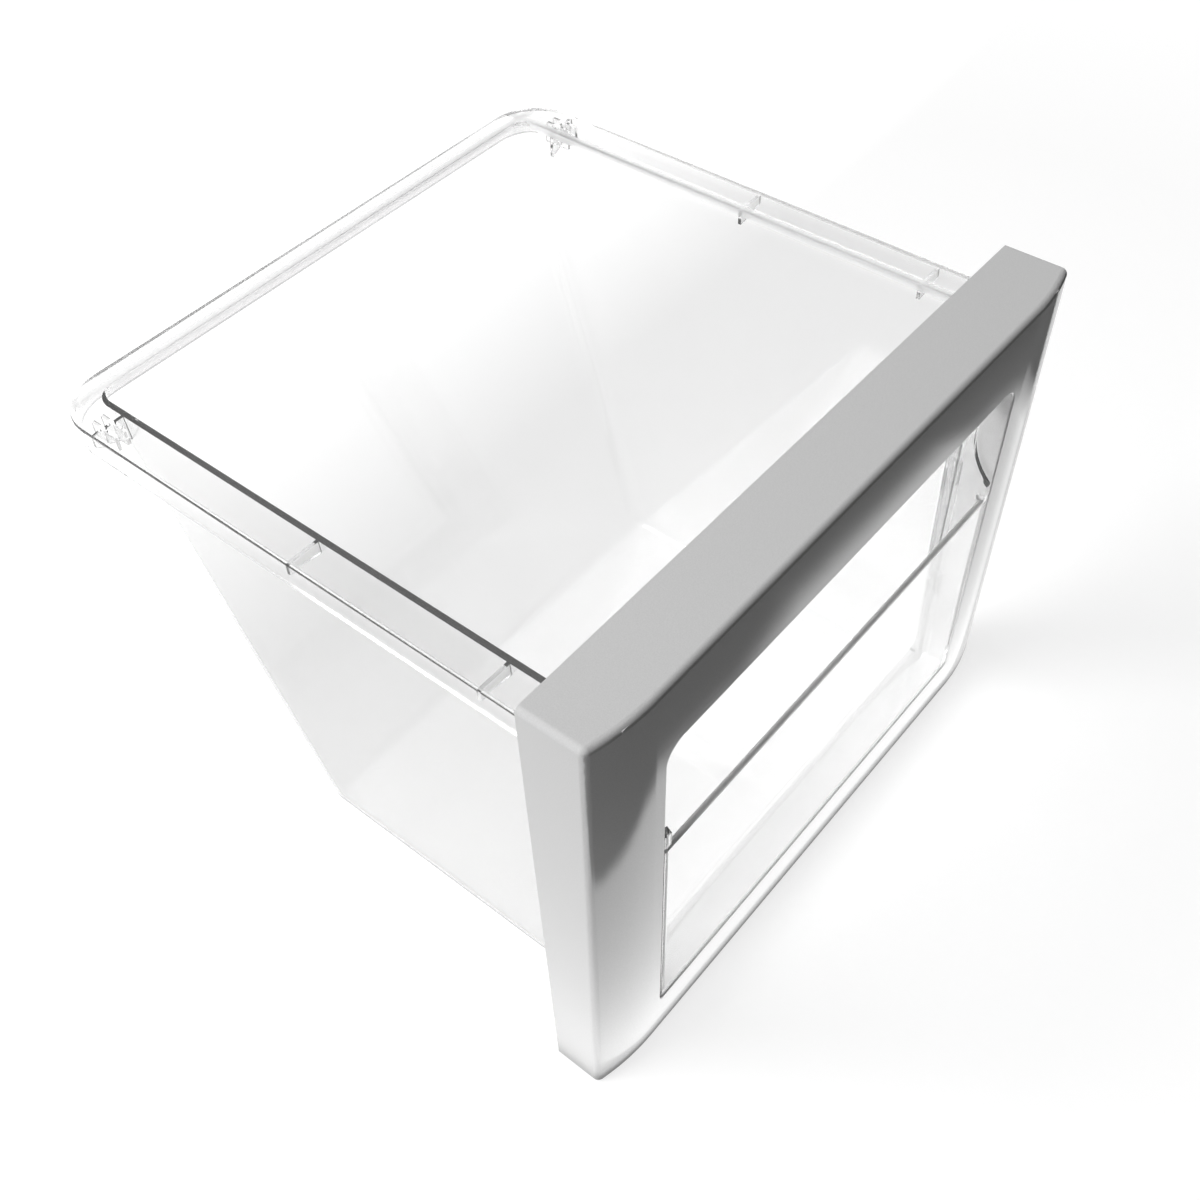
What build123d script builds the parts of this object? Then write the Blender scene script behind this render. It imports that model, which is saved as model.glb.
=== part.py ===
"""Freezer drawer: a clear moulded tub whose nose fills the window of an open-backed grey front frame.

Millimetres. X runs across the drawer, Y from its front to its back, Z up. The origin is on the
surface that the drawer stands on, below the middle of its footprint.
"""

import os
from math import sqrt

from build123d import *

# Front frame, outside
frame_width = 300
frame_height = 238
frame_depth = 32
frame_lean = 6
frame_end_length = 30
frame_end_sweep = 4.5
frame_wall = 2.5
frame_top_round = 2.6
frame_bottom_round = 1.5
frame_corner_round = 3

# Window in the frame, with a rim turned back all round it and a ledge along its sill
top_bar_height = 35
leg_width = 36
sill_height = 25
window_top_round = 9
window_bottom_round = 2
window_edge_round = 0.8
window_rim_depth = 16.5
ledge_depth = 22.5
ledge_straight = 120

# Ribs inside the bar above the window and inside the sill below it
rib_count = 7
rib_pitch = 34
rib_thickness = 1.8

# Tub behind the frame: its sides stand outside the window and spread towards the rim, its back slopes
shoulder_width = 5
side_spread = 8.8
back_slope = 74.3
tub_wall = 2.3
tub_floor = 2.5
tub_corner_round = 10
tub_floor_round = 8
floor_lift = 3
floor_lift_gap = 0.4

# Nose of the tub, which stands in the window under the hand gap
hand_gap = 62
window_gap = 0.6
nose_setback = 0.3
nose_round = 0.9
nose_floor_round = 0.7
nose_shoulder_round = 3
corner_post = 3.6
side_start_rise = 8
side_sweep_rise = 31
side_sweep_depth = 13
rim_gap = 0.8

# Rim: a flange on three sides with a lip turned down at its edge
rim_drop = 16
rim_reach = 254
side_flange = 15.2
back_flange = 8.7
rim_thickness = 2.5
rim_corner_round = 24
rim_edge_round = 1.2
rim_inner_round = 0.8
lip_height = 12
lip_wall = 2

# Gussets under the side flanges, placed behind the frame's back
gusset_reaches = (24, 115, 225)
gusset_drops = (8.5, 8.5, 15)
gusset_lip_drop = 6.5
gusset_thickness = 1.6
stop_rib_length = 14
stop_rib_drop = 9
stop_rib_count = 2

# Where the frame holds the tub
collar_width = 5
collar_thickness = 2.2
hook_reach = 4
hook_clearance = 0.3
hook_tooth = 2.2
hook_thickness = 2.4
hook_height = 14
hook_levels = (55, 125)
seat_rib_thickness = 2.5

# Places that follow from the sizes above
front_y = -(frame_depth + rim_reach) / 2
frame_back = front_y + frame_depth
window_top = frame_height - top_bar_height
window_half = frame_width / 2 - leg_width
front_wall_height = window_top - hand_gap
side_start_height = front_wall_height + side_start_rise
side_sweep_height = front_wall_height + side_sweep_rise
rim_height = frame_height - rim_drop
floor_half = window_half + shoulder_width
rim_half = floor_half + side_spread + side_flange
window_rim_back = front_y + window_rim_depth
shoulder_y = front_y + ledge_depth
nose_half = window_half - window_gap
nose_low = sill_height + window_gap
end_radius = (frame_end_length**2 + frame_end_sweep**2) / (2 * frame_end_sweep)
collar_back = shoulder_y + collar_thickness
lip_inside = rim_half - lip_wall
half_wall = frame_wall / 2
near = 0.01

os.makedirs("parts", exist_ok=True)


def front_face_y(height):
    """Where the leaning front face stands at a height."""
    return front_y + frame_lean * (frame_height - height) / frame_height


def wall_half(height):
    """Half the tub's outside width at a height."""
    return floor_half + side_spread * height / rim_height


def wall_back(height):
    """Where the outside of the sloping back wall stands at a height."""
    return frame_back + rim_reach - back_flange - back_slope * (rim_height - height) / rim_height


def frame_plan(height, inset, back):
    """Plan of the frame at a height, its front and ends moved in by inset."""
    half = frame_width / 2 - inset
    bend = frame_width / 2 - frame_end_length
    front = front_face_y(height) + inset
    inner_radius = end_radius - inset
    turned = front + inner_radius - sqrt(inner_radius**2 - (half - bend) ** 2)
    with BuildSketch(Plane.XY.offset(height)) as plan:
        with BuildLine():
            Line((-bend, front), (bend, front))
            TangentArc((bend, front), (half, turned), tangent=(1, 0))
            Polyline((half, turned), (half, back), (-half, back), (-half, turned))
            TangentArc((-bend, front), (-half, turned), tangent=(-1, 0))
        make_face()
    return plan.sketch


def lean_down(height):
    """Direction and length of an extrusion that follows the leaning face down by a height."""
    slope = sqrt(frame_lean**2 + frame_height**2) / frame_height
    return {"amount": height * slope, "dir": (0, frame_lean, -frame_height)}


def window_outline(y, margin):
    """Outline of the window at a depth, widened by margin, with larger rounds under the bar."""
    with BuildSketch(Plane.XZ.offset(-y)) as outline:
        with Locations((0, (window_top + sill_height) / 2)):
            Rectangle(2 * (window_half + margin), window_top - sill_height + 2 * margin)
        fillet(outline.vertices().group_by(Axis.Y)[-1], window_top_round + margin)
        fillet(outline.vertices().group_by(Axis.Y)[0], window_bottom_round + margin)
    return outline.sketch


def tub_body(floor, inset):
    """Tub behind its nose, from a floor's height up to the rim, its walls moved in by inset."""
    front = shoulder_y + inset
    low_half = wall_half(floor) - inset
    high_half = wall_half(rim_height) - inset
    with BuildPart() as body:
        with BuildSketch(Plane.XZ.offset(-front)):
            with BuildLine():
                Polyline(
                    (-low_half, floor),
                    (low_half, floor),
                    (high_half, rim_height),
                    (-high_half, rim_height),
                    close=True,
                )
            make_face()
        extrude(amount=-(frame_depth + rim_reach))
        with BuildSketch(Plane.YZ):
            with BuildLine():
                Polyline(
                    (front, floor),
                    (wall_back(floor) - inset, floor),
                    (wall_back(rim_height) - inset, rim_height),
                    (front, rim_height),
                    close=True,
                )
            make_face()
        extrude(amount=rim_half, both=True, mode=Mode.INTERSECT)
        middle_height = (floor + rim_height) / 2
        standing_edges = body.edges().filter_by(lambda edge: abs(edge.center().Z - middle_height) < near)
        fillet(standing_edges.sort_by(Axis.Y)[-2:], tub_corner_round - inset)
        fillet(body.edges().group_by(Axis.Z)[0].sort_by(Axis.Y)[1:], tub_floor_round - inset)
    return body.part


def nose_body(low, inset, back):
    """Nose of the tub, from its low edge up to the rim, its front and sides moved in by inset."""
    front = front_face_y(rim_height) + nose_setback + inset
    with BuildPart() as body:
        with BuildSketch(Plane.XY.offset(rim_height)):
            with Locations((0, front)):
                Rectangle(2 * (nose_half - inset), back - front, align=(Align.CENTER, Align.MIN))
        extrude(**lean_down(rim_height - low))
        middle_height = (low + rim_height) / 2
        standing_edges = body.edges().filter_by(lambda edge: abs(edge.center().Z - middle_height) < near)
        fillet(standing_edges.sort_by(Axis.Y)[:2], nose_round)
    return body.part


# Space inside the frame, which leaves the window's rim and the ledge standing
with BuildPart() as frame_space:
    hollow_plan = frame_plan(frame_height - frame_wall, frame_wall, frame_back + frame_lean)
    extrude(hollow_plan, **lean_down(frame_height - 2 * frame_wall))
    extrude(window_outline(window_rim_back, frame_wall), amount=frame_depth, mode=Mode.SUBTRACT)
    with BuildSketch(Plane.XY.offset(sill_height - frame_wall)):
        with BuildLine():
            ledge_bend = ledge_straight / 2
            ledge_end = window_half + frame_wall
            Line((-ledge_bend, shoulder_y), (ledge_bend, shoulder_y))
            TangentArc((ledge_bend, shoulder_y), (ledge_end, window_rim_back), tangent=(1, 0))
            Polyline(
                (ledge_end, window_rim_back),
                (ledge_end, front_y),
                (-ledge_end, front_y),
                (-ledge_end, window_rim_back),
            )
            TangentArc((-ledge_bend, shoulder_y), (-ledge_end, window_rim_back), tangent=(-1, 0))
        make_face()
    extrude(amount=frame_wall, mode=Mode.SUBTRACT)

# Front frame: front face leaning back and turned at both ends, hollow and open behind
with BuildPart() as front_frame:
    extrude(frame_plan(frame_height, 0, frame_back + frame_lean), **lean_down(frame_height))
    split(bisect_by=Plane.XZ.offset(-frame_back), keep=Keep.TOP)
    front_edges = front_frame.edges().filter_by(lambda edge: edge.center().Y < frame_back - frame_wall)
    end_edges = front_edges.filter_by(lambda edge: abs(edge.center().X) > frame_width / 2 - near)
    fillet(end_edges.filter_by(GeomType.LINE).group_by(Axis.Y)[0], frame_corner_round)
    top_edges = front_frame.edges().group_by(Axis.Z)[-1]
    fillet(top_edges.filter_by(lambda edge: edge.center().Y < frame_back - near), frame_top_round)
    bottom_edges = front_frame.edges().group_by(Axis.Z)[0]
    fillet(bottom_edges.filter_by(lambda edge: edge.center().Y < frame_back - near), frame_bottom_round)
    add(frame_space.part, mode=Mode.SUBTRACT)
    extrude(window_outline(frame_back, 0), amount=frame_depth, mode=Mode.SUBTRACT)
    window_edges = front_frame.edges().filter_by(
        lambda edge: abs(edge.center().X) < window_half + near
        and sill_height - near < edge.center().Z < window_top + near
        and edge.center().Y < front_face_y(edge.center().Z) + near
    )
    fillet(window_edges, window_edge_round)

    # Stiffening ribs inside the bar and inside the sill
    for index in range(rib_count):
        rib_x = (index - (rib_count - 1) / 2) * rib_pitch
        with BuildSketch(Plane.YZ.offset(rib_x)):
            with BuildLine():
                Polyline(
                    (front_face_y(window_top) + half_wall, window_top + half_wall),
                    (window_rim_back - frame_wall, window_top + half_wall),
                    (frame_back - frame_wall, frame_height - half_wall),
                    (front_face_y(frame_height) + half_wall, frame_height - half_wall),
                    close=True,
                )
            make_face()
            with BuildLine():
                Polyline(
                    (front_face_y(0) + half_wall, half_wall),
                    (window_rim_back, half_wall),
                    (window_rim_back, sill_height - half_wall),
                    (front_face_y(sill_height) + half_wall, sill_height - half_wall),
                    close=True,
                )
            make_face()
        extrude(amount=rib_thickness / 2, both=True)

    for side in (-1, 1):
        # Seat rib that stands on the tub's flange
        seat_x = side * (wall_half(rim_height) + lip_inside) / 2
        with BuildSketch(Plane.YZ.offset(seat_x)):
            with BuildLine():
                Polyline(
                    (front_face_y(rim_height) + half_wall, rim_height),
                    (frame_back - frame_wall, rim_height),
                    (frame_back - frame_wall, frame_height - half_wall),
                    (front_face_y(frame_height) + half_wall, frame_height - half_wall),
                    close=True,
                )
            make_face()
        extrude(amount=seat_rib_thickness / 2, both=True)

        # Snap hooks that reach back past the tub's collar
        for level in hook_levels:
            inner_x = wall_half(level + hook_height) + collar_width + hook_clearance
            root_y = front_face_y(level) + half_wall
            catch_y = collar_back + hook_clearance
            with BuildSketch(Plane.XY.offset(level)):
                with BuildLine():
                    Polyline(
                        (side * inner_x, root_y),
                        (side * (inner_x + hook_thickness), root_y),
                        (side * (inner_x + hook_thickness), catch_y + hook_reach),
                        (side * inner_x, catch_y + hook_reach),
                        (side * (inner_x - hook_tooth), catch_y + hook_tooth / 2),
                        (side * (inner_x - hook_tooth), catch_y),
                        (side * inner_x, catch_y),
                        close=True,
                    )
                make_face()
            extrude(amount=hook_height)

# Space inside the tub: the main space, its floor lifted over the frame's bottom, and the nose
with BuildPart() as tub_space:
    add(tub_body(tub_floor, tub_wall))
    with BuildSketch(Plane.YZ):
        with Locations((frame_back + floor_lift_gap + tub_wall, 0)):
            Rectangle(frame_depth, floor_lift + tub_floor, align=(Align.MAX, Align.MIN))
    extrude(amount=frame_width, both=True, mode=Mode.SUBTRACT)
    add(nose_body(nose_low + tub_floor, tub_wall, frame_back))
    shoulder_edges = tub_space.edges().filter_by(
        lambda edge: abs(abs(edge.center().X) - (nose_half - tub_wall)) < near
        and abs(edge.center().Y - shoulder_y - tub_wall) < near
    )
    fillet(shoulder_edges, nose_shoulder_round)

# Tub: one clear moulding with its nose, rim, collar and gussets
with BuildPart() as tub:
    # Flange and lip, open towards the frame
    with BuildSketch(Plane.XY.offset(rim_height)) as rim_plan:
        with Locations((0, shoulder_y)):
            Rectangle(2 * rim_half, rim_reach + frame_back - shoulder_y, align=(Align.CENTER, Align.MIN))
        fillet(rim_plan.vertices().group_by(Axis.Y)[-1], rim_corner_round)
    extrude(amount=-lip_height)
    rim_edges = tub.edges().group_by(Axis.Z)[-1]
    fillet(rim_edges.filter_by(lambda edge: edge.center().Y > shoulder_y + near), rim_edge_round)
    hollow_reach = rim_reach + frame_back - shoulder_y - lip_wall
    with BuildSketch(Plane.XY.offset(rim_height - rim_thickness)) as rim_hollow:
        with Locations((0, shoulder_y)):
            Rectangle(2 * lip_inside, hollow_reach, align=(Align.CENTER, Align.MIN))
        fillet(rim_hollow.vertices().group_by(Axis.Y)[-1], rim_corner_round - lip_wall)
    extrude(amount=-lip_height, mode=Mode.SUBTRACT)

    # Walls and floor
    add(tub_body(0, 0))

    # Floor strip lifted over the frame's bottom
    with BuildSketch(Plane.YZ):
        with Locations((frame_back + floor_lift_gap, 0)):
            Rectangle(frame_depth, floor_lift, align=(Align.MAX, Align.MIN))
    extrude(amount=frame_width, both=True, mode=Mode.SUBTRACT)

    for side in (-1, 1):
        # Collar down each side wall, which the hooks catch on
        with BuildSketch(Plane.XZ.offset(-collar_back)):
            collar_top = rim_height - rim_thickness / 2
            with BuildLine():
                Polyline(
                    (side * (wall_half(0) - tub_wall), tub_floor_round),
                    (side * (wall_half(tub_floor_round) + collar_width), tub_floor_round + collar_width),
                    (side * (wall_half(rim_height) + collar_width), collar_top),
                    (side * (wall_half(rim_height) - tub_wall), collar_top),
                    close=True,
                )
            make_face()
        extrude(amount=collar_thickness)

        # Gussets between the wall and the lip
        for reach, drop in zip(gusset_reaches, gusset_drops):
            gusset_low = rim_height - drop
            gusset_outside = lip_inside + lip_wall / 2
            with BuildSketch(Plane.XZ.offset(-(frame_back + reach))):
                with BuildLine():
                    Polyline(
                        (side * (wall_half(gusset_low) - tub_wall / 2), gusset_low),
                        (side * gusset_outside, rim_height - gusset_lip_drop),
                        (side * gusset_outside, rim_height - rim_thickness / 2),
                        (side * (wall_half(rim_height) - tub_wall / 2), rim_height - rim_thickness / 2),
                        close=True,
                    )
                make_face()
            extrude(amount=gusset_thickness / 2, both=True)

        # Short stop ribs across the rearmost gusset
        flange_span = lip_inside - wall_half(rim_height)
        for index in range(stop_rib_count):
            rib_x = side * (wall_half(rim_height) + flange_span * (index + 1) / (stop_rib_count + 1))
            with BuildSketch(Plane.XY.offset(rim_height - rim_thickness / 2)):
                with Locations((rib_x, frame_back + gusset_reaches[-1])):
                    Rectangle(gusset_thickness, stop_rib_length)
            extrude(amount=-stop_rib_drop)

    # Nose through the window, flush with the frame's front face
    with BuildPart(mode=Mode.PRIVATE) as nose:
        add(nose_body(nose_low, 0, shoulder_y + tub_wall))
        fillet(nose.edges().group_by(Axis.Z)[0].sort_by(Axis.Y)[:-1], nose_floor_round)
    add(nose.part)
    add(tub_space.part, mode=Mode.SUBTRACT)

    # Rounded inner edge of the rim
    inner_half = wall_half(rim_height) - tub_wall
    inner_edges = tub.edges().group_by(Axis.Z)[-1].filter_by(
        lambda edge: abs(edge.center().X) < inner_half + near
        and shoulder_y + tub_wall + near < edge.center().Y < wall_back(rim_height) - tub_wall + near
    )
    fillet(inner_edges, rim_inner_round)

    # Nose sides that sweep up from the front face to the shoulder
    side_front = front_face_y(side_start_height) + nose_setback
    sweep_back = front_y + side_sweep_depth
    side_top = window_top - window_top_round
    with BuildSketch(Plane.YZ):
        with BuildLine():
            TangentArc(
                (sweep_back, side_sweep_height),
                (side_front, side_start_height),
                tangent=(0, -1),
            )
            Polyline(
                (sweep_back, side_sweep_height),
                (sweep_back, side_top),
                (window_rim_back + rim_gap, side_top),
                (window_rim_back + rim_gap, frame_height),
                (front_y, frame_height),
                (front_y, side_start_height),
                (side_front, side_start_height),
            )
        make_face()
    extrude(amount=frame_width, both=True, mode=Mode.SUBTRACT)

    # Low front wall between the corner posts, with a rounded edge
    edge_low = front_wall_height - tub_wall / 2
    front_outside = front_face_y(edge_low) + nose_setback
    front_inside = front_outside + tub_wall
    with BuildSketch(Plane.YZ):
        with BuildLine():
            ThreePointArc(
                (front_outside, edge_low),
                (front_outside + tub_wall / 2, front_wall_height),
                (front_inside, edge_low),
            )
            Polyline(
                (front_inside, edge_low),
                (front_inside, side_sweep_height),
                (front_y, side_sweep_height),
                (front_y, edge_low),
                (front_outside, edge_low),
            )
        make_face()
    extrude(amount=nose_half - corner_post, both=True, mode=Mode.SUBTRACT)

front_frame.part.label = "front_frame"
tub.part.label = "tub"
export_step(front_frame.part, "parts/front_frame.step")
export_step(tub.part, "parts/tub.step")
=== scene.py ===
import math

import bpy
from mathutils import Matrix, Vector


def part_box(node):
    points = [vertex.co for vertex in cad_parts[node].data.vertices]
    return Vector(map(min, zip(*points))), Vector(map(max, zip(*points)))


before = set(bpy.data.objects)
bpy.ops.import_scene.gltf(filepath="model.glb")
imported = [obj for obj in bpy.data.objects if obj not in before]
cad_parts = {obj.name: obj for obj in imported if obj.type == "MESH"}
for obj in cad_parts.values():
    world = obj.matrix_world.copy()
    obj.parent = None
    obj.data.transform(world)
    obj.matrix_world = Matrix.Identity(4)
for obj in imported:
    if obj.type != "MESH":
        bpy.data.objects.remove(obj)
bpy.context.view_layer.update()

# Tub: the food tray, moulded in one shot from clear polystyrene in a polished mould. It shows faint flow
# waves, its thin rim is clearer than its walls, and the top edge of its front wall and the inner edge of its
# rim, at the back and on the right, are satin. Its nose stands in the window of the front frame.
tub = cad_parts["tub"]
rim_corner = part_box("tub")[1]
rim_edge_right = rim_corner.x - 0.0163
rim_edge_back = rim_corner.y - 0.0098
rim_edge_half = 0.0017
rim_edge_low = rim_corner.z - 0.0034
rim_edge_satin = 0.35
rim_tint_start = rim_corner.z - 0.0070
rim_tint_end = rim_corner.z - 0.0035
rim_tint = 0.91
wall_tint = 0.83
front_edge_middle = 0.1402
front_edge_half = 0.0014
front_edge_back = -0.136
front_edge_satin = 0.95


def object_place(tree):
    """Adds the object's own coordinates, and gives them as one vector."""
    return tree.nodes.new("ShaderNodeTexCoord").outputs["Object"]


def split_axes(tree, place):
    """Splits a vector, and gives its X, Y and Z by name."""
    axes = tree.nodes.new("ShaderNodeSeparateXYZ")
    tree.links.new(place, axes.inputs["Vector"])
    return axes.outputs


def noise(tree, place, scale, detail):
    """Adds a noise pattern, and gives its value."""
    pattern = tree.nodes.new("ShaderNodeTexNoise")
    pattern.inputs["Scale"].default_value = scale
    pattern.inputs["Detail"].default_value = detail
    tree.links.new(place, pattern.inputs["Vector"])
    return pattern.outputs["Fac"]


def bump(tree, height, strength, distance):
    """Adds a bump from a height, and gives its normal."""
    relief = tree.nodes.new("ShaderNodeBump")
    relief.inputs["Strength"].default_value = strength
    relief.inputs["Distance"].default_value = distance
    tree.links.new(height, relief.inputs["Height"])
    return relief.outputs["Normal"]


def blend(tree, value, start, end, low, high):
    """Adds a ramp that is low at the start, high at the end and level beyond both, and gives its result."""
    ramp = tree.nodes.new("ShaderNodeMapRange")
    ramp.inputs["From Min"].default_value = start
    ramp.inputs["From Max"].default_value = end
    ramp.inputs["To Min"].default_value = low
    ramp.inputs["To Max"].default_value = high
    tree.links.new(value, ramp.inputs["Value"])
    return ramp.outputs["Result"]


def maths(tree, operation, *values):
    """Adds a Math node that works on sockets and numbers, and gives its result."""
    step = tree.nodes.new("ShaderNodeMath")
    step.operation = operation
    for socket, value in zip(step.inputs, values):
        if isinstance(value, bpy.types.NodeSocket):
            tree.links.new(value, socket)
        else:
            socket.default_value = value
    return step.outputs["Value"]


clear_plastic = bpy.data.materials.new("clear_plastic")
clear_plastic.use_nodes = True
tree = clear_plastic.node_tree
polished_skin = tree.nodes["Principled BSDF"]
polished_skin.inputs["IOR"].default_value = 1.5
polished_skin.inputs["Transmission Weight"].default_value = 0.975
tub_place = object_place(tree)
tub_axes = split_axes(tree, tub_place)

flow_waves = noise(tree, tub_place, scale=28.0, detail=1.0)
flow_relief = bump(tree, flow_waves, strength=0.05, distance=0.001)
tree.links.new(flow_relief, polished_skin.inputs["Normal"])

front_edge_level = maths(tree, "COMPARE", tub_axes["Z"], front_edge_middle, front_edge_half)
front_edge_depth = maths(tree, "LESS_THAN", tub_axes["Y"], front_edge_back)
front_edge = maths(tree, "MULTIPLY", front_edge_level, front_edge_depth)
back_rim_edge = maths(tree, "COMPARE", tub_axes["Y"], rim_edge_back, rim_edge_half)
right_rim_edge = maths(tree, "COMPARE", tub_axes["X"], rim_edge_right, rim_edge_half)
either_rim_edge = maths(tree, "MAXIMUM", back_rim_edge, right_rim_edge)
rim_level = maths(tree, "GREATER_THAN", tub_axes["Z"], rim_edge_low)
rim_edge = maths(tree, "MULTIPLY", either_rim_edge, rim_level)
skin_dullness = blend(tree, flow_waves, start=0.0, end=1.0, low=0.01, high=0.05)
front_dullness = maths(tree, "MULTIPLY_ADD", front_edge, front_edge_satin, skin_dullness)
tub_dullness = maths(tree, "MULTIPLY_ADD", rim_edge, rim_edge_satin, front_dullness)
tree.links.new(tub_dullness, polished_skin.inputs["Roughness"])

tub_tint = blend(tree, tub_axes["Z"], rim_tint_start, rim_tint_end, low=wall_tint, high=rim_tint)
tree.links.new(tub_tint, polished_skin.inputs["Base Color"])

lamp_rays = tree.nodes.new("ShaderNodeLightPath")
lamp_light_through = tree.nodes.new("ShaderNodeBsdfTransparent")
lamp_light_through.inputs["Color"].default_value = (0.89, 0.89, 0.89, 1.0)
clear_or_lamp = tree.nodes.new("ShaderNodeMixShader")
tree.links.new(lamp_rays.outputs["Is Shadow Ray"], clear_or_lamp.inputs["Fac"])
tree.links.new(polished_skin.outputs["BSDF"], clear_or_lamp.inputs[1])
tree.links.new(lamp_light_through.outputs["BSDF"], clear_or_lamp.inputs[2])
tree.links.new(clear_or_lamp.outputs["Shader"], tree.nodes["Material Output"].inputs["Surface"])
tub.material_slots[0].material = clear_plastic

# Front frame: the handle front, moulded from polystyrene coloured silver grey with a fine pigment in it.
# Its skin is semi-gloss, and it snaps onto the tub's collar from the front.
front_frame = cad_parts["front_frame"]
dark_grain = (0.515, 0.515, 0.515, 1.0)
dark_grain_end = 0.3
light_grain = (0.575, 0.575, 0.575, 1.0)
light_grain_start = 0.7

silver_grey_plastic = bpy.data.materials.new("silver_grey_plastic")
silver_grey_plastic.use_nodes = True
tree = silver_grey_plastic.node_tree
grey_skin = tree.nodes["Principled BSDF"]
grey_skin.inputs["IOR"].default_value = 1.5
frame_place = object_place(tree)

pigment = noise(tree, frame_place, scale=2600.0, detail=2.0)
pigment_colour = tree.nodes.new("ShaderNodeValToRGB")
pigment_colour.color_ramp.elements[0].position = dark_grain_end
pigment_colour.color_ramp.elements[0].color = dark_grain
pigment_colour.color_ramp.elements[1].position = light_grain_start
pigment_colour.color_ramp.elements[1].color = light_grain
tree.links.new(pigment, pigment_colour.inputs["Fac"])
tree.links.new(pigment_colour.outputs["Color"], grey_skin.inputs["Base Color"])
grain_relief = bump(tree, pigment, strength=0.04, distance=0.0002)
tree.links.new(grain_relief, grey_skin.inputs["Normal"])

mould_polish = noise(tree, frame_place, scale=35.0, detail=3.0)
grey_dullness = blend(tree, mould_polish, start=0.0, end=1.0, low=0.04, high=0.07)
tree.links.new(grey_dullness, grey_skin.inputs["Roughness"])
front_frame.material_slots[0].material = silver_grey_plastic

# Floor: a plain pale studio table that runs out of sight on all sides, half a millimetre below the drawer.
# Seen straight, mirrored or through the clear tub it is white, and it keeps the drawer's soft shadow. Behind
# the drawer it glows brighter than white, a painted pool of light that shows through the tub.
floor_size = 40.0
floor_level = -0.0005
near_white = 0.79
# Painted pool of light: behind the drawer the table glows up to this level, brighter than white, and it
# shows through the tub.
painted_back_light = 1.20
painted_back_light_start = 0.16
painted_back_light_end = 0.32
far_white = 1.02
far_white_start = 0.6
far_white_end = 1.5


def seen_directly(tree):
    """Gives 1 for a camera, mirror or clear-wall ray that no matt face has sent on, and 0 for any other."""
    ray = tree.nodes.new("ShaderNodeLightPath").outputs
    seen_or_mirrored = maths(tree, "MAXIMUM", ray["Is Camera Ray"], ray["Is Glossy Ray"])
    seen_at_all = maths(tree, "MAXIMUM", seen_or_mirrored, ray["Is Transmission Ray"])
    no_matt_face = maths(tree, "LESS_THAN", ray["Diffuse Depth"], 0.5)
    return maths(tree, "MULTIPLY", seen_at_all, no_matt_face)


bpy.ops.mesh.primitive_plane_add(size=floor_size, location=(0.0, 0.0, floor_level))
floor = bpy.context.object
floor.name = "floor"
table_white_and_painted_back_light = bpy.data.materials.new("table_white_and_painted_back_light")
table_white_and_painted_back_light.use_nodes = True
tree = table_white_and_painted_back_light.node_tree
tree.nodes.remove(tree.nodes["Principled BSDF"])
table_face = tree.nodes.new("ShaderNodeBsdfDiffuse")
table_face.inputs["Color"].default_value = (0.27, 0.27, 0.27, 1.0)
table_place = object_place(tree)
table_axes = split_axes(tree, table_place)
table_distance = tree.nodes.new("ShaderNodeVectorMath")
table_distance.operation = "LENGTH"
tree.links.new(table_place, table_distance.inputs[0])
table_reach = table_distance.outputs["Value"]
painted_back_light_level = blend(tree, table_axes["Y"], painted_back_light_start, painted_back_light_end, low=near_white, high=painted_back_light)
far_level = blend(tree, table_reach, far_white_start, far_white_end, low=near_white, high=far_white)
# White table, with the painted pool of light behind the drawer.
white_and_painted_back_light = maths(tree, "MAXIMUM", painted_back_light_level, far_level)
table_level = maths(tree, "MULTIPLY", seen_directly(tree), white_and_painted_back_light)
table_glow = tree.nodes.new("ShaderNodeEmission")
tree.links.new(table_level, table_glow.inputs["Strength"])
table_sum = tree.nodes.new("ShaderNodeAddShader")
tree.links.new(table_face.outputs["BSDF"], table_sum.inputs[0])
tree.links.new(table_glow.outputs["Emission"], table_sum.inputs[1])
tree.links.new(table_sum.outputs["Shader"], tree.nodes["Material Output"].inputs["Surface"])
floor.data.materials.append(table_white_and_painted_back_light)

# Painted reflection: a glowing sheet that only mirror rays meet paints what the grey front mirrors of the
# table, bright close to the drawer and dark beyond. Right of the middle the painted bright band reaches
# further out and a painted grey strip follows it, and the bright band ends at the far right.
mirror_half = 3.0
mirror_near = -0.1385
mirror_far = -4.0
mirror_height = 0.004
line_start = -0.2185
line_end = -0.2155
right_start = 0.06
right_end = 0.12
far_right_start = 0.265
far_right_end = 0.295
bright_reach = 0.0085
# Glow of the painted bright reflection band, brighter than white.
painted_reflection_bright = 1.55
bright_fade_start = 0.325
bright_fade_end = 0.371
grey_reach = 0.0185
# Glows of the painted grey reflection strip and of the painted dark reflection beyond it.
painted_reflection_grey = 0.11
painted_reflection_dark = 0.01

bpy.ops.mesh.primitive_plane_add(size=2.0, location=(0.0, 0.0, 0.0))
painted_reflection_sheet = bpy.context.object
painted_reflection_sheet.name = "painted_reflection_sheet"
for corner in painted_reflection_sheet.data.vertices:
    corner_y = mirror_near if corner.co.y > 0.0 else mirror_far
    corner.co = Vector((corner.co.x * mirror_half, corner_y, mirror_height))
painted_reflection_light = bpy.data.materials.new("painted_reflection_light")
painted_reflection_light.use_nodes = True
tree = painted_reflection_light.node_tree
tree.nodes.remove(tree.nodes["Principled BSDF"])
mirror_axes = split_axes(tree, object_place(tree))
right_part = blend(tree, mirror_axes["X"], right_start, right_end, low=0.0, high=1.0)
not_far_right = blend(tree, mirror_axes["X"], far_right_start, far_right_end, low=1.0, high=0.0)
middle_part = maths(tree, "MULTIPLY", right_part, not_far_right)
bright_line = maths(tree, "MULTIPLY_ADD", middle_part, bright_reach, mirror_axes["Y"])
painted_bright_band = blend(tree, bright_line, line_start, line_end, low=0.0, high=painted_reflection_bright)
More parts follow.
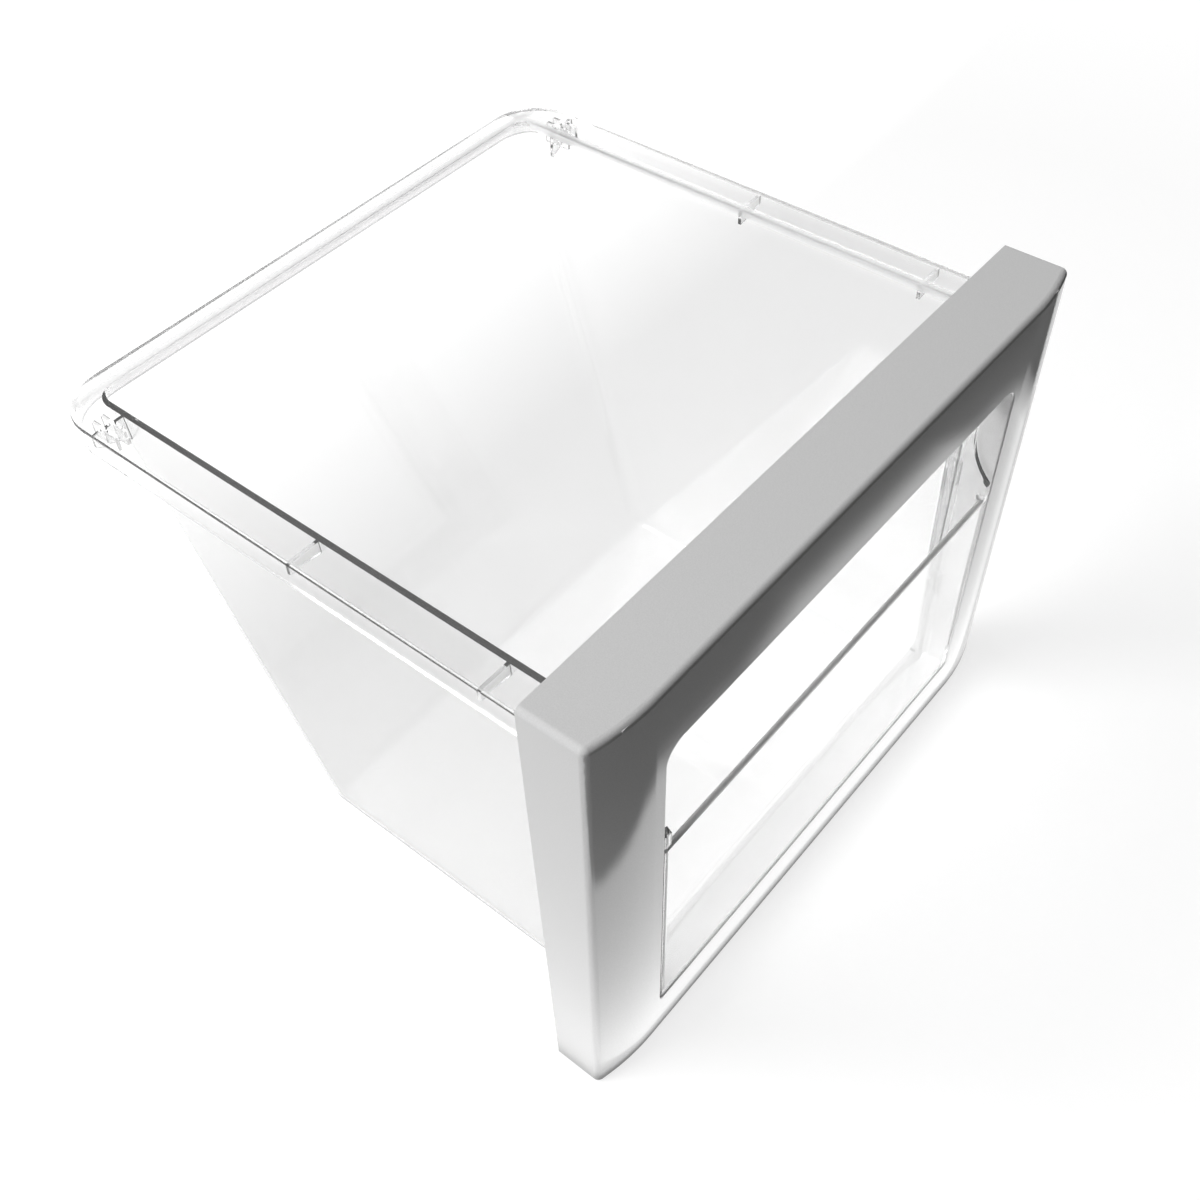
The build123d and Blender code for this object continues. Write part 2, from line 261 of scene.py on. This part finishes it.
bright_fade = blend(tree, mirror_axes["X"], bright_fade_start, bright_fade_end, low=1.0, high=0.0)
grey_line = maths(tree, "MULTIPLY_ADD", right_part, grey_reach, mirror_axes["Y"])
painted_grey_band = blend(tree, grey_line, line_start, line_end, low=painted_reflection_dark, high=painted_reflection_grey)
# Adds the painted bright band and the painted grey strip into the sheet's glow.
painted_reflection_level = maths(tree, "MULTIPLY_ADD", painted_bright_band, bright_fade, painted_grey_band)
painted_reflection_glow = tree.nodes.new("ShaderNodeEmission")
tree.links.new(painted_reflection_level, painted_reflection_glow.inputs["Strength"])
tree.links.new(painted_reflection_glow.outputs["Emission"], tree.nodes["Material Output"].inputs["Surface"])
painted_reflection_sheet.data.materials.append(painted_reflection_light)
painted_reflection_sheet.visible_camera = False
painted_reflection_sheet.visible_diffuse = False
painted_reflection_sheet.visible_shadow = False
painted_reflection_sheet.visible_transmission = False

# Lamps: one large soft box high on the left and behind, which leaves the front in shade, and two low
# strips on the table, one before the front's foot and one on the left. The strips stand for light that
# the table sends up.
middle = Vector((0.0, 0.0, 0.12))
key_place = Vector((-1.50, 0.95, 1.95))
key_turn = (middle - key_place).to_track_quat("-Z", "Y").to_matrix().to_4x4()
foot_place = Vector((-0.05, -0.179, 0.003))
side_place = Vector((-0.21, -0.02, 0.003))
face_up = Matrix.Rotation(math.pi, 4, "X")


def area_lamp(name, width, depth, watts, place, turn):
    """Adds a lamp that neither the camera nor a mirror sees."""
    lamp_data = bpy.data.lights.new(name, "AREA")
    lamp_data.shape = "RECTANGLE"
    lamp_data.size = width
    lamp_data.size_y = depth
    lamp_data.energy = watts
    lamp = bpy.data.objects.new(name, lamp_data)
    lamp.matrix_world = Matrix.Translation(place) @ turn
    lamp.visible_camera = False
    lamp.visible_glossy = False
    bpy.context.scene.collection.objects.link(lamp)
    return lamp


key_box = area_lamp("key_box", width=1.4, depth=1.4, watts=82.0, place=key_place, turn=key_turn)
foot_strip = area_lamp("foot_strip", width=0.80, depth=0.075, watts=0.54, place=foot_place, turn=face_up)
foot_strip.visible_transmission = False
side_strip = area_lamp("side_strip", width=0.10, depth=0.24, watts=0.12, place=side_place, turn=face_up)
side_strip.visible_transmission = False

# Room: white walls as far as they are seen, mirrored or looked at through the tub. On matt faces they cast
# only a weak even light.
room = bpy.data.worlds.new("room")
bpy.context.scene.world = room
room.use_nodes = True
tree = room.node_tree
room_light = tree.nodes["Background"]
room_light.inputs["Color"].default_value = (1.0, 1.0, 1.0, 1.0)
room_light.inputs["Strength"].default_value = 0.10
white_wall = tree.nodes.new("ShaderNodeBackground")
white_wall.inputs["Color"].default_value = (1.0, 1.0, 1.0, 1.0)
white_wall.inputs["Strength"].default_value = 1.0
room_sum = tree.nodes.new("ShaderNodeMixShader")
tree.links.new(seen_directly(tree), room_sum.inputs["Fac"])
tree.links.new(room_light.outputs["Background"], room_sum.inputs[1])
tree.links.new(white_wall.outputs["Background"], room_sum.inputs[2])
tree.links.new(room_sum.outputs["Shader"], tree.nodes["World Output"].inputs["Surface"])

# Camera: looks down on the left front corner, as the photograph does, from about three quarters of a metre
# and with the photograph's slight roll.
camera_place = Vector((-0.334429, -0.313673, 0.589816))
camera_azimuth = math.radians(48.149)
camera_elevation = math.radians(48.171)
camera_roll = math.radians(-3.152)
camera_data = bpy.data.cameras.new("camera")
camera_data.lens = 44.03
camera_data.sensor_width = 36.0
camera_data.clip_start = 0.01
camera = bpy.data.objects.new("camera", camera_data)
camera.matrix_world = (
    Matrix.Translation(camera_place)
    @ Matrix.Rotation(-camera_azimuth, 4, "Z")
    @ Matrix.Rotation(math.pi / 2 - camera_elevation, 4, "X")
    @ Matrix.Rotation(camera_roll, 4, "Z")
)
bpy.context.scene.collection.objects.link(camera)
bpy.context.scene.camera = camera
bpy.context.scene.view_settings.view_transform = "Standard"
